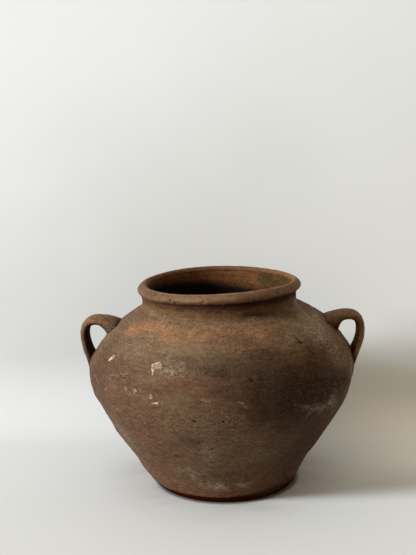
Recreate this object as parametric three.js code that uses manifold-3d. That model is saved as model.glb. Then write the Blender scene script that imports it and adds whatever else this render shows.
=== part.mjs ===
// Two-handled earthenware urn, built from luted clay sections.
// Millimetres, +Z up, origin at the centre of the underside, handles on the X axis.
import * as THREE from "three";
import * as BufferGeometryUtils from "three/addons/utils/BufferGeometryUtils.js";
import Module from "manifold-3d";

// Driving dimensions: every luted joint keeps this film of slip
const lute = 0.3;

// Floor disc
const footRadius = 86;
const footBevel = 1;
const edgeHeight = 7;
const edgeFlare = 3.5;
const plugHeight = 6;
const heelThickness = 11;

// Body walls: heights of the two thrown sections and the shape of their outer curve
const wallThickness = 9;
const lowerHeight = 133.7;
const shoulderHeight = 79.2;
const bellyRadius = 162;
const flareSlope = 0.66;
const flareLength = 50;
const fullnessBelow = 36;
const fullnessAbove = 31;
const shoulderRun = 1.9;
const shoulderLength = 20;

// Neck collar and everted lip
const mouthRadius = 87;
const collarThickness = 7;
const collarFlare = 0.8;
const collarHeight = 13.5;
const collarBend = 3;
const lipHeight = 15.4;
const lipOverhang = 5.3;
const lipWideHeight = 7.9;
const lipFaceWidth = 7.1;
const lipUnderBend = 3.4;
const lipFaceBend = 2.7;
const throatDepth = 5.2;
const throatBend = 2.4;

// Key that locks one section on the next: a tapered tongue in a groove
const keyBase = 3.4;
const keyTip = 2.2;
const keyHeight = 4;

// Reinforcing coils pressed over the inside seams
const cornerCoilWidth = 14;
const cornerCoilHeight = 9;
const bellyCoilHeight = 18;
const bellyCoilDepth = 4;

// Strap handles: the path of the strap's middle line, then its section
const handleReach = 12;
const upperRootDrop = 26.5;
const crestDrop = 8;
const lowerRootDrop = 3;
const upperSink = 10;
const lowerSink = 7;
const springOut = 32;
const springUp = 17.5;
const bendAbove = 18;
const bendBelow = 15;
const tailOut = 6;
const tailUp = 20;
const strapWidth = 29;
const strapThickness = 10.5;
const upperRootWidth = 42;
const upperRootThickness = 15;
const lowerRootWidth = 36;
const lowerRootThickness = 13;
const upperFlareLength = 44;
const lowerFlareLength = 48;
const rootFillet = 5;
const rootFilletLength = 13;
const strapSquareness = 2.4;

// Facets
const turnSteps = 48;
const wallSteps = 9;
const lipSteps = 4;
const coilSteps = 5;
const strapRings = 22;
const strapSides = 14;

// Levels that follow from the heights
const floorLevel = edgeHeight + plugHeight;
const wallFoot = edgeHeight + lute;
const bellyLevel = wallFoot + lowerHeight;
const shoulderFoot = bellyLevel + lute;
const collarLevel = shoulderFoot + shoulderHeight;
const collarFoot = collarLevel + lute;
const neckLevel = collarFoot + collarHeight;
const lipFoot = neckLevel + lute;
const lipWideLevel = lipFoot + lipWideHeight;
const mouthLevel = lipFoot + lipHeight;

// Radii that follow from the driving sizes
const heelRadius = footRadius + edgeFlare;
const plugRadius = heelRadius - heelThickness;
const neckRadius = mouthRadius + collarThickness;
const collarFootRadius = neckRadius + collarFlare;
const lipRadius = neckRadius + lipOverhang;
const crestRadius = lipRadius - lipFaceWidth;
const bellyKey = bellyRadius - wallThickness / 2;
const neckKey = mouthRadius + collarThickness / 2;

const wasm = await Module();
wasm.setup();

function point(radius, height) {
  return new THREE.Vector2(radius, height);
}

// Outer curve of the lower section: a near-straight flare that rounds into the belly
const lowerCurve = new THREE.CubicBezierCurve(
  point(heelRadius, wallFoot),
  point(heelRadius + flareSlope * flareLength, wallFoot + flareLength),
  point(bellyRadius, bellyLevel - fullnessBelow),
  point(bellyRadius, bellyLevel),
);

// Outer curve of the shoulder: upright at the belly, then leaning in to the collar
const shoulderCurve = new THREE.CubicBezierCurve(
  point(bellyRadius, shoulderFoot),
  point(bellyRadius, shoulderFoot + fullnessAbove),
  point(collarFootRadius + shoulderRun * shoulderLength, collarLevel - shoulderLength),
  point(collarFootRadius, collarLevel),
);

// Points along a wall curve, each moved square to the curve towards the inside by a distance
function inset(curve, distance) {
  return Array.from({ length: wallSteps + 1 }, (_, step) => {
    const share = step / wallSteps;
    const along = curve.getTangent(share);
    return curve.getPoint(share).add(point(-along.y, along.x).multiplyScalar(distance));
  });
}

// Radius of a rising profile at a height, on the straight facets between its points
function radiusAt(profile, height) {
  const upper = profile.findIndex((spot, index) => index > 0 && spot.y >= height);
  const above = profile[upper];
  const below = profile[upper - 1];
  return THREE.MathUtils.mapLinear(height, below.y, above.y, below.x, above.x);
}

// Tongue or groove of a keyed seam, from its outer side to its inner side
function key(radius, level, clearance) {
  const base = keyBase / 2 + clearance;
  const tip = keyTip / 2 + clearance;
  return [
    point(radius + base, level),
    point(radius + tip, level + keyHeight),
    point(radius - tip, level + keyHeight),
    point(radius - base, level),
  ];
}

// Solid of revolution from a profile that runs anticlockwise: up its outer side, down its inner side
function revolve(profile) {
  return new THREE.LatheGeometry([...profile, profile[0]], turnSteps).rotateX(Math.PI / 2);
}

function toSolid(geometry) {
  const bare = geometry.clone();
  bare.deleteAttribute("normal");
  bare.deleteAttribute("uv");
  const merged = BufferGeometryUtils.mergeVertices(bare);
  return new wasm.Manifold(new wasm.Mesh({
    numProp: 3,
    vertProperties: new Float32Array(merged.attributes.position.array),
    triVerts: new Uint32Array(merged.index.array),
  }));
}

function toGeometry(solid) {
  const mesh = solid.getMesh();
  const geometry = new THREE.BufferGeometry();
  geometry.setAttribute("position", new THREE.BufferAttribute(mesh.vertProperties, 3));
  geometry.setIndex(new THREE.BufferAttribute(mesh.triVerts, 1));
  geometry.computeVertexNormals();
  return geometry;
}

const lowerOuter = inset(lowerCurve, 0);
const shoulderOuter = inset(shoulderCurve, 0);
const shoulderInner = inset(shoulderCurve, wallThickness);

// The inside of the lower section starts at the heel, round the floor's plug
const heelCorner = point(plugRadius + lute, floorLevel);
const lowerInner = [heelCorner, ...inset(lowerCurve, wallThickness).slice(1)];

// The inside of the shoulder runs on at the same lean until it reaches the mouth
const shoulderLip = shoulderInner[wallSteps];
const noseLevel = shoulderLip.y + (shoulderLip.x - mouthRadius) / shoulderRun;

// Slab that carries the wall: a flange for the heel to stand on, and a plug inside it
function floorDisc() {
  return new THREE.LatheGeometry([
    point(0, 0),
    point(footRadius - footBevel, 0),
    point(footRadius, footBevel),
    point(heelRadius, edgeHeight),
    point(plugRadius, edgeHeight),
    point(plugRadius, floorLevel),
    point(0, floorLevel),
  ], turnSteps).rotateX(Math.PI / 2);
}

function lowerWall() {
  return revolve([
    ...lowerOuter,
    ...key(bellyKey, bellyLevel, 0),
    ...lowerInner.toReversed(),
    point(plugRadius + lute, wallFoot),
  ]);
}

function upperWall() {
  return revolve([
    ...shoulderOuter,
    ...key(neckKey, collarLevel, 0),
    point(mouthRadius, collarLevel),
    point(mouthRadius, noseLevel),
    ...shoulderInner.toReversed(),
    ...key(bellyKey, shoulderFoot, lute).toReversed(),
  ]);
}

// Short neck: it leaves the shoulder at the shoulder's lean and bends upright
function neckCollar() {
  const bend = new THREE.QuadraticBezierCurve(
    point(collarFootRadius - shoulderRun * lute, collarFoot),
    point(neckRadius, collarFoot + collarFlare / shoulderRun),
    point(neckRadius, collarFoot + collarBend),
  );
  return revolve([
    ...bend.getPoints(coilSteps),
    point(neckRadius, neckLevel),
    ...key(neckKey, neckLevel, 0),
    point(mouthRadius, neckLevel),
    point(mouthRadius, collarFoot),
    ...key(neckKey, collarFoot, lute).toReversed(),
  ]);
}

// Everted lip: its underside sweeps out of the neck, its face leans in to the crest, and the throat
// rounds off inside
function rimLip() {
  const underside = new THREE.CubicBezierCurve(
    point(neckRadius, lipFoot),
    point(neckRadius, lipFoot + lipUnderBend),
    point(lipRadius, lipWideLevel - lipUnderBend),
    point(lipRadius, lipWideLevel),
  );
  const face = new THREE.CubicBezierCurve(
    point(lipRadius, lipWideLevel),
    point(lipRadius, lipWideLevel + lipFaceBend),
    point(crestRadius + lipFaceBend, mouthLevel),
    point(crestRadius, mouthLevel),
  );
  const throat = new THREE.CubicBezierCurve(
    point(crestRadius, mouthLevel),
    point(crestRadius - throatBend, mouthLevel),
    point(mouthRadius, mouthLevel - throatDepth + throatBend),
    point(mouthRadius, mouthLevel - throatDepth),
  );
  return revolve([
    ...underside.getPoints(lipSteps),
    ...face.getPoints(lipSteps).slice(1),
    ...throat.getPoints(lipSteps).slice(1),
    point(mouthRadius, lipFoot),
    ...key(neckKey, lipFoot, lute).toReversed(),
  ]);
}

// Coil pressed into the corner where the floor's plug meets the wall
function cornerCoil() {
  const seat = floorLevel + lute;
  const top = seat + cornerCoilHeight;
  const wallSide = point(radiusAt(lowerInner, top) - 2 * lute, top);
  const corner = point(radiusAt(lowerInner, seat) - 2 * lute, seat);
  const toe = point(corner.x - cornerCoilWidth, seat);
  const face = new THREE.QuadraticBezierCurve(wallSide, point(corner.x - cornerCoilWidth / 2, top), toe);
  return revolve([corner, ...face.getPoints(coilSteps)]);
}

// Flattened coil pressed over the belly seam
function bellyCoil() {
  const half = bellyCoilHeight / 2;
  const bottom = point(radiusAt(lowerInner, bellyLevel - half) - lute, bellyLevel - half);
  const top = point(radiusAt(shoulderInner, bellyLevel + half) - lute, bellyLevel + half);
  const crown = point(Math.min(bottom.x, top.x) - 2 * bellyCoilDepth, bellyLevel);
  const face = new THREE.QuadraticBezierCurve(top, crown, bottom);
  return revolve(face.getPoints(coilSteps));
}

// Middle line of a strap in the XZ plane, sprung from the shoulder and pressed down on the belly
function strapPath() {
  const rootLevel = collarLevel - upperRootDrop;
  const tailLevel = bellyLevel - lowerRootDrop;
  const reach = bellyRadius + handleReach - strapThickness / 2;
  const outermost = point(reach, rootLevel - crestDrop);
  const root = point(radiusAt(shoulderOuter, rootLevel) - upperSink, rootLevel);
  const tail = point(radiusAt(lowerOuter, tailLevel) - lowerSink, tailLevel);
  const path = new THREE.CurvePath();
  path.add(new THREE.CubicBezierCurve(
    root,
    point(root.x + springOut, root.y + springUp),
    point(outermost.x, outermost.y + bendAbove),
    outermost,
  ));
  path.add(new THREE.CubicBezierCurve(
    outermost,
    point(outermost.x, outermost.y - bendBelow),
    point(tail.x + tailOut, tail.y + tailUp),
    tail,
  ));
  return path;
}

// Clay smoothed into the corner under the upper root, at a distance along the strap from its buried end
function filletDepth(fromRoot) {
  return rootFillet * (1 - THREE.MathUtils.smoothstep(fromRoot, upperSink, upperSink + rootFilletLength));
}

// A size that eases from the upper root's to the strap's own, and on to the lower root's
function strapSize(fromRoot, fromTail, root, strap, tail) {
  const upper = 1 - THREE.MathUtils.smoothstep(fromRoot, 0, upperFlareLength);
  const lower = 1 - THREE.MathUtils.smoothstep(fromTail, 0, lowerFlareLength);
  return strap + (root - strap) * upper + (tail - strap) * lower;
}

// Loft of rounded-rectangle rings along the strap's middle line, with a closing point at each end
function strapLoft() {
  const path = strapPath();
  const length = path.getLength();
  const positions = [];
  const indices = [];
  const roundPower = 2 / strapSquareness;
  const rounded = (value) => Math.sign(value) * Math.abs(value) ** roundPower;
  for (let ring = 0; ring <= strapRings; ring += 1) {
    const share = ring / strapRings;
    const middle = path.getPointAt(share);
    const along = path.getTangentAt(share);
    const ends = [share * length, (1 - share) * length];
    const width = strapSize(...ends, upperRootWidth, strapWidth, lowerRootWidth);
    const thickness = strapSize(...ends, upperRootThickness, strapThickness, lowerRootThickness);
    const fillet = filletDepth(share * length);
    for (let side = 0; side < strapSides; side += 1) {
      const angle = (2 * Math.PI * side) / strapSides;
      const across = (width / 2) * rounded(Math.sin(angle));
      const lift = Math.cos(angle);
      const outward = (thickness / 2 + (lift < 0 ? fillet : 0)) * rounded(lift);
      positions.push(middle.x - along.y * outward, across, middle.y + along.x * outward);
      if (ring < strapRings) {
        const here = ring * strapSides + side;
        const beside = ring * strapSides + ((side + 1) % strapSides);
        indices.push(here, here + strapSides, beside, beside, here + strapSides, beside + strapSides);
      }
    }
  }
  const first = positions.length / 3;
  for (const share of [0, 1]) {
    const middle = path.getPointAt(share);
    positions.push(middle.x, 0, middle.y);
  }
  for (let side = 0; side < strapSides; side += 1) {
    const next = (side + 1) % strapSides;
    const last = strapRings * strapSides;
    indices.push(first, side, next);
    indices.push(first + 1, last + next, last + side);
  }
  const geometry = new THREE.BufferGeometry();
  geometry.setAttribute("position", new THREE.Float32BufferAttribute(positions, 3));
  geometry.setIndex(indices);
  return geometry;
}

// The strap cut to the curve of the body, one film of slip clear of it
function strapHandle() {
  const body = new THREE.LatheGeometry([
    point(0, wallFoot),
    ...inset(lowerCurve, -lute),
    ...inset(shoulderCurve, -lute),
    point(0, collarLevel),
  ], turnSteps).rotateX(Math.PI / 2);
  return toGeometry(toSolid(strapLoft()).subtract(toSolid(body)));
}

function clay(color, roughness) {
  return new THREE.MeshStandardMaterial({ color, roughness, metalness: 0 });
}

const group = new THREE.Group();

function addPiece(name, geometry, material, turn = 0) {
  const mesh = new THREE.Mesh(geometry, material);
  mesh.name = name;
  mesh.rotation.z = turn;
  group.add(mesh);
}

addPiece("floor_disc", floorDisc(), clay(0x70452c, 0.95));
addPiece("lower_wall", lowerWall(), clay(0x5d4535, 0.9));
addPiece("upper_wall", upperWall(), clay(0x644a38, 0.88));
addPiece("neck_collar", neckCollar(), clay(0x5e4433, 0.88));
addPiece("rim_lip", rimLip(), clay(0x6d4f3c, 0.85));
addPiece("floor_corner_coil", cornerCoil(), clay(0x4c382b, 0.95));
addPiece("belly_seam_coil", bellyCoil(), clay(0x4c382b, 0.95));
addPiece("right_handle", strapHandle(), clay(0x684a37, 0.86));
addPiece("left_handle", strapHandle(), clay(0x684a37, 0.86), Math.PI);

export default group;
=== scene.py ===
"""The looks of a two-handled earthenware urn: thrown in sections, luted, smoked in the fire and long used.

Shapes are worked out in millimetres and go into the meshes in metres. The body is one line, the skin,
that runs from the middle of the underside up the outside, over the lip and down the inside to the
middle of the floor. Each section of the urn is a stretch of that line turned round the axis.
"""

import math

import bpy
import numpy as np
from mathutils import Matrix, Vector


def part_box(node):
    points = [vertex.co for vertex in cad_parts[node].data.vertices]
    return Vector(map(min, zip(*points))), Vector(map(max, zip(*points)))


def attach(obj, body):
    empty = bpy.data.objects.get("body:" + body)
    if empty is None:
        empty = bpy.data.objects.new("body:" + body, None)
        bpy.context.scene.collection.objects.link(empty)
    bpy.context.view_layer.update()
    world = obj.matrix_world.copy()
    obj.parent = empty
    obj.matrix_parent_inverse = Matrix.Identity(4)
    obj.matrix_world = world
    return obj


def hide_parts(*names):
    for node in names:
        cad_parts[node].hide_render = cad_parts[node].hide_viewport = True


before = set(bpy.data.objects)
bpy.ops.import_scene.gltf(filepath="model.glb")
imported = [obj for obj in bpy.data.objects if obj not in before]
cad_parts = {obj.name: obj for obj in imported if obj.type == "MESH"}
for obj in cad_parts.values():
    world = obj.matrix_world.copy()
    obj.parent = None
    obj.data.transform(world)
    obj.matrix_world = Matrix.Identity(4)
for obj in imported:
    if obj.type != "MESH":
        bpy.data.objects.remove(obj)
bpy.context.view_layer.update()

MM = 0.001
TURN = 2 * math.pi


def low(node, axis):
    """A CAD node's lowest coordinate on an axis, in millimetres."""
    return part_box(node)[0][axis] / MM


def high(node, axis):
    """A CAD node's highest coordinate on an axis, in millimetres."""
    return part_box(node)[1][axis] / MM


# Levels and radii that the frame gives
WALL_FOOT = low("lower_wall", 2)
BELLY_SEAM = low("upper_wall", 2)
NECK_FOOT = low("neck_collar", 2)
LIP_FOOT = low("rim_lip", 2)
MOUTH_LEVEL = high("rim_lip", 2)
FLOOR_LEVEL = high("floor_disc", 2)
HEEL_RADIUS = high("floor_disc", 0)
BELLY_RADIUS = high("lower_wall", 0)
LIP_RADIUS = high("rim_lip", 0)
HANDLE_REACH = high("right_handle", 0)

# Shape of the skin
FOOT_BEVEL = 1
EDGE_FLARE = 3.5
WALL = 9
FLARE_SLOPE = 0.66
FLARE_LENGTH = 50
FULLNESS_BELOW = 36
FULLNESS_ABOVE = 31
SHOULDER_RUN = 1.9
SHOULDER_LENGTH = 20
MOUTH_RADIUS = 87
NECK_RADIUS = 94
NECK_FLARE = 0.8
NECK_FLARE_HEIGHT = 1
LIP_WIDE_HEIGHT = 8.9
LIP_FACE_WIDTH = 7.1
LIP_UNDER_BEND = 3.4
LIP_FACE_BEND = 1.9
THROAT_DEPTH = 5.2
THROAT_BEND = 2.4
SKIN_STEP = 0.25
CORNER_SOFTNESS = 0.9
NECK_SOFTNESS = 4.0
NECK_SOFT_REACH = 16
UNDER_NECK = 8

# Shape of the coils inside
SEAM_COIL_HALF = 9
SEAM_COIL_DEPTH = 4
SEAM_COIL_SINK = 0.5
SEAM_COIL_DABS = 46
CORNER_COIL_WIDTH = 14
CORNER_COIL_HEIGHT = 9
CORNER_COIL_SINK = 0.4
CORNER_COIL_DABS = 26
DAB_DEPTH = 0.10
DAB_DRIFT = 0.8

# Shape of the handles
STRAP_WIDTH = 29
STRAP_THICKNESS = 10.5
STRAP_SQUARENESS = 2.4
GROOVES = 3
GROOVE_DEPTH = 0.45
GROOVE_FADE = 30
ROOT_WIDTH = 42
ROOT_THICKNESS = 15
ROOT_FLARE = 44
TAIL_WIDTH = 36
TAIL_THICKNESS = 13
TAIL_FLARE = 48
ROOT_DROP = 26.8
CREST_DROP = 8
TAIL_DROP = 3.3
ROOT_SINK = 10
TAIL_SINK = 7
SPRING_OUT = 32
SPRING_UP = 17.5
BEND_ABOVE = 18
BEND_BELOW = 15
TAIL_OUT = 6
TAIL_UP = 20
FILLET_LENGTH = 17
DEEPEST_ROOT = 6
HELD_ENDS = 40

# How far the urn strays from the true round: lean of the mouth, the axis's drift to the right at some
# heights, the swelling of the foot and the warp of the mouth
LEAN_ANGLE = math.radians(0.98)
DRIFT = ((0, 0.6), (40, -1.8), (140, -1.0), (250, -1.3))
FOOT_SWELL = 5.0
FOOT_SWELL_AZIMUTH = -77
FOOT_SWELL_SPREAD = math.radians(60)
FOOT_SWELL_HEIGHT = 34
MOUTH_WARP = 1.2
MOUTH_WARP_AZIMUTH = 120
MOUTH_WARP_FOOT = 200

# Relief of the hand-made skin: size and height of the lumps, and pitch and height of the rings
WALL_LUMPS = ((110, 0.3), (34, 0.22), (11, 0.09), (5, 0.04))
COIL_LUMPS = ((14, 0.15),)
OUTER_RINGS = (8.5, 0.10)
INNER_RINGS = (9.0, 0.22)
RING_PATCH = 80
RING_DRIFT = 140
RING_WANDER = 0.9
CREST_BLEND = 4
CALM_REACH = 18
CALM_SHARE = 0.7
LUMPS_START = 6
LUMPS_FULL = 12
THROAT_STEP = 0.7
THROAT_STEP_START = (6.5, 8.5)
THROAT_STEP_END = (30, 50)
MOUND_EDGE = (0.6, 1.6)

# Swelling and thinning of the straps: size, and share of the thickness
STRAP_LUMPS = ((26, 0.02), (8, 0.008))

# Seeds of the random fields
WALL_SEED = 11
RING_PATCH_SEED = 15
RING_DRIFT_SEED = 16
STAIN_SEED = 31
COIL_SEED = 61

# Mesh density
COLUMNS = 576
OUTER_ROW = 1.3
INNER_ROW = 5.0
LIP_ROW = 0.9
NECK_INNER_ROW = 1.2
FLOOR_ROW = 3.0
BEND_PER_ROW = math.radians(6)
SPAN_STEPS = 400
STRAP_STEP = 0.9
STRAP_SIDES = 96
SEAM_COIL_STEPS = 13
CORNER_COIL_STEPS = 11
SHARP_ANGLE = math.radians(55)


# Curves

def bezier(*knots, steps=160):
    """A cubic curve: the four knots weighted by their Bernstein shares of the run t."""
    t = np.linspace(0, 1, steps)[:, None]
    shares = ((1 - t) ** 3, 3 * (1 - t) ** 2 * t, 3 * (1 - t) * t ** 2, t ** 3)
    return sum(share * np.array(knot, float) for share, knot in zip(shares, knots))


def lengths_along(line):
    """Distance from the line's start to each of its points."""
    steps = np.linalg.norm(np.diff(line, axis=0), axis=1)
    return np.concatenate([[0.0], np.cumsum(steps)])


def resampled(line, step):
    """The same line with points an even step apart."""
    run = lengths_along(line)
    count = max(2, int(math.ceil(run[-1] / step)) + 1)
    even = np.linspace(0, run[-1], count)
    return np.stack([np.interp(even, run, line[:, k]) for k in range(line.shape[1])], axis=1)


def inset(line, depth):
    """The line moved towards the clay's inside, square to its own run."""
    along = np.gradient(line, axis=0)
    along /= np.linalg.norm(along, axis=1)[:, None]
    return line + depth * np.stack([-along[:, 1], along[:, 0]], axis=1)


def smoothstep(start, end, value):
    """Eases from 0 at start to 1 at end, level at both."""
    t = np.clip((value - start) / (end - start), 0, 1)
    return t * t * (3 - 2 * t)


def bell(distance, reach):
    """A bell curve: 1 at no distance, and 1/e at the reach."""
    return np.exp(-(distance / reach) ** 2)


def waves(points, size, seed, count=26):
    """A smooth random field of unit strength: a sum of plane waves about size millimetres long."""
    draw = np.random.default_rng(seed)
    ways = draw.normal(size=(count, 3))
    ways /= np.linalg.norm(ways, axis=1)[:, None] * size * draw.uniform(0.7, 1.6, (count, 1))
    phases = draw.uniform(0, TURN, count)
    return np.sin(points @ ways.T * TURN + phases).sum(axis=-1) * math.sqrt(2 / count)


def lumpy(points, lumps, seed):
    """Random fields added up, each with its own size and height, and with the next seed."""
    return sum(rise * waves(points, size, seed + k) for k, (size, rise) in enumerate(lumps))


# The skin line

NECK_FOOT_RADIUS = NECK_RADIUS + NECK_FLARE
LIP_WIDE_LEVEL = LIP_FOOT + LIP_WIDE_HEIGHT
CREST_RADIUS = LIP_RADIUS - LIP_FACE_WIDTH
LOWER_CURVE = bezier(
    (HEEL_RADIUS, WALL_FOOT),
    (HEEL_RADIUS + FLARE_SLOPE * FLARE_LENGTH, WALL_FOOT + FLARE_LENGTH),
    (BELLY_RADIUS, BELLY_SEAM - FULLNESS_BELOW),
    (BELLY_RADIUS, BELLY_SEAM),
)
SHOULDER_CURVE = bezier(
    (BELLY_RADIUS, BELLY_SEAM),
    (BELLY_RADIUS, BELLY_SEAM + FULLNESS_ABOVE),
    (NECK_FOOT_RADIUS + SHOULDER_RUN * SHOULDER_LENGTH, NECK_FOOT - SHOULDER_LENGTH),
    (NECK_FOOT_RADIUS, NECK_FOOT),
)
LIP_UNDERSIDE = bezier(
    (NECK_RADIUS, LIP_FOOT),
    (NECK_RADIUS, LIP_FOOT + LIP_UNDER_BEND),
    (LIP_RADIUS, LIP_WIDE_LEVEL - LIP_UNDER_BEND),
    (LIP_RADIUS, LIP_WIDE_LEVEL),
)
LIP_FACE = bezier(
    (LIP_RADIUS, LIP_WIDE_LEVEL),
    (LIP_RADIUS, LIP_WIDE_LEVEL + LIP_FACE_BEND),
    (CREST_RADIUS + LIP_FACE_BEND, MOUTH_LEVEL),
    (CREST_RADIUS, MOUTH_LEVEL),
)
LIP_THROAT = bezier(
    (CREST_RADIUS, MOUTH_LEVEL),
    (CREST_RADIUS - THROAT_BEND, MOUTH_LEVEL),
    (MOUTH_RADIUS, MOUTH_LEVEL - THROAT_DEPTH + THROAT_BEND),
    (MOUTH_RADIUS, MOUTH_LEVEL - THROAT_DEPTH),
)


def skin_line():
    """The skin's points (radius, height) and the stretch of its length that each part takes."""
    shoulder_inside = inset(SHOULDER_CURVE, WALL)[::-1]
    rise = (shoulder_inside[0, 0] - MOUTH_RADIUS) / SHOULDER_RUN
    lower_inside = inset(LOWER_CURVE, WALL)[::-1]
    lower_inside = lower_inside[lower_inside[:, 1] > FLOOR_LEVEL]
    foot_radius = HEEL_RADIUS - EDGE_FLARE
    parts = {
        "underside": [(0, 0), (foot_radius - FOOT_BEVEL, 0)],
        "edge": [(foot_radius - FOOT_BEVEL, 0), (foot_radius, FOOT_BEVEL), (HEEL_RADIUS, WALL_FOOT)],
        "lower_out": LOWER_CURVE,
        "upper_out": SHOULDER_CURVE,
        "neck_out": [
            (NECK_FOOT_RADIUS, NECK_FOOT),
            (NECK_RADIUS, NECK_FOOT + NECK_FLARE_HEIGHT),
            (NECK_RADIUS, LIP_FOOT),
        ],
        "lip_out": np.concatenate([LIP_UNDERSIDE, LIP_FACE[1:]]),
        "lip_in": [*LIP_THROAT, (MOUTH_RADIUS, LIP_FOOT)],
        "neck_in": [(MOUTH_RADIUS, LIP_FOOT), (MOUTH_RADIUS, NECK_FOOT)],
        "upper_in": [
            (MOUTH_RADIUS, NECK_FOOT),
            (MOUTH_RADIUS, shoulder_inside[0, 1] + rise),
            *shoulder_inside,
        ],
        "lower_in": lower_inside,
        "floor": [(lower_inside[-1, 0], FLOOR_LEVEL), (0, FLOOR_LEVEL)],
    }
    points, spans, done = [], {}, 0.0
    for name, part in parts.items():
        line = resampled(np.array(part, float), SKIN_STEP)
        run = lengths_along(line)[-1]
        spans[name] = (done, done + run)
        points.append(line if not points else line[1:])
        done += run
    return np.concatenate(points), spans


def softened(line, reach):
    """The line averaged with a bell-shaped window, which rounds its corners."""
    half = int(4 * reach / SKIN_STEP)
    window = np.exp(-0.5 * (np.arange(-half, half + 1) * SKIN_STEP / reach) ** 2)
    window /= window.sum()
    padded = np.pad(line, ((half, half), (0, 0)), mode="reflect", reflect_type="odd")
    return np.stack([np.convolve(padded[:, k], window, mode="valid") for k in range(2)], axis=1)


sharp_skin, SPANS = skin_line()
SKIN_RUN = lengths_along(sharp_skin)
from_neck_corner = np.abs(SKIN_RUN - SPANS["neck_out"][0])
near_neck = 1 - smoothstep(NECK_SOFT_REACH / 2, NECK_SOFT_REACH, from_neck_corner)[:, None]
crisp_skin = softened(sharp_skin, CORNER_SOFTNESS)
SKIN = crisp_skin * (1 - near_neck) + softened(sharp_skin, NECK_SOFTNESS) * near_neck
along_skin = np.gradient(SKIN, axis=0)
along_skin /= np.linalg.norm(along_skin, axis=1)[:, None]
SKIN_NORMAL = np.stack([along_skin[:, 1], -along_skin[:, 0]], axis=1)
SKIN_BEND = np.linalg.norm(np.gradient(SKIN_NORMAL, axis=0), axis=1) / SKIN_STEP
EDGE_START, EDGE_END = SPANS["edge"]
LIP_START, LIP_CREST = SPANS["lip_out"]


def skin_at(run):
    """Radius, height and outward normal of the skin at lengths along it."""
    return [np.interp(run, SKIN_RUN, column) for column in (*SKIN.T, *SKIN_NORMAL.T)]


def rows(*stretches):
    """Lengths along the skin for a section, from stretches of (part, row spacing).

    Rows lie the spacing apart where the skin is straight, and closer where it bends.
    """
    found = []
    for part, spacing in stretches:
        run = np.linspace(*SPANS[part], SPAN_STEPS)
        density = 1 / spacing + np.interp(run, SKIN_RUN, SKIN_BEND) / BEND_PER_ROW
        tally = np.concatenate([[0], np.cumsum((density[1:] + density[:-1]) / 2 * np.diff(run))])
        found.append(np.interp(np.linspace(0, tally[-1], int(tally[-1]) + 2), tally, run))
    return np.concatenate(found)


def outer_radius(height):
    """Radius of the round body's outside at a height."""
    outside = (SKIN_RUN > EDGE_START) & (SKIN_RUN < SPANS["neck_out"][1])
    return np.interp(height, SKIN[outside, 1], SKIN[outside, 0])


def inner_radius(height):
    """Radius of the round body's inside at a height, between the floor and the neck."""
    inside = (SKIN_RUN > SPANS["upper_in"][0] + UNDER_NECK) & (SKIN_RUN < SPANS["lower_in"][1])
    return np.interp(height, SKIN[inside, 1][::-1], SKIN[inside, 0][::-1])


# What hands and years did to the shape

# Pits and chips: azimuth in degrees (-90 is the front), height, radius and depth in millimetres
PITS = [
    (-97.5, 122.6, 2.6, 1.2), (-86.2, 122.6, 1.9, 0.8), (-74.5, 166.7, 2.2, 1.0),
    (-44.7, 193.7, 2.4, 1.2), (-41.1, 181.5, 2.8, 1.1), (-91.3, 84.1, 1.8, 0.8), (-109.2, 69.8, 1.8, 0.7),
    (-96.6, 91.2, 1.8, 0.6), (-122.0, 243.6, 2.2, 0.9), (-118.1, 240.7, 2.0, 0.9),
    (-97.2, 243.0, 2.2, 0.9), (-44.0, 244.0, 2.6, 0.9), (-146.0, 8.1, 3.4, 1.4), (38.0, 150.0, 2.8, 1.0),
    (75.0, 178.0, 2.2, 0.9), (112.0, 96.0, 2.6, 1.0), (150.0, 62.0, 2.2, 0.8), (60.0, 243.0, 2.8, 1.2),
    (140.0, 241.0, 2.4, 0.9), (95.0, 8.0, 3.6, 1.5), (10.0, 60.0, 2.0, 0.8),
]
# Broad rises and hollows: azimuth, height, half width, half height and rise
MOUNDS = [
    (0, 201, 25, 13, 1.2), (180, 201, 25, 13, -0.8), (0, 150, 20, 18, 1.0), (180, 150, 20, 18, 0.6),
    (180, 180, 50, 16, -1.6), (205, 97, 70, 16, -2.2), (205, 55, 70, 20, -0.6), (204, 18, 50, 12, 2.2),
    (-4, 60, 70, 36, -0.7), (185, 243, 60, 8, 0.8), (0, 228, 50, 9, -1.2),
]


def angle_between(theta, azimuth):
    """Signed angle from an azimuth in degrees, in radians, kept within half a turn."""
    return (theta - math.radians(azimuth) + math.pi) % TURN - math.pi


def throwing_rings(run, turned_by, pitch, rise):
    """Ridges that the potter's fingers leave: a sine along the skin that climbs one pitch a turn."""
    return rise * np.sin(TURN * run / pitch + turned_by)


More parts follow.
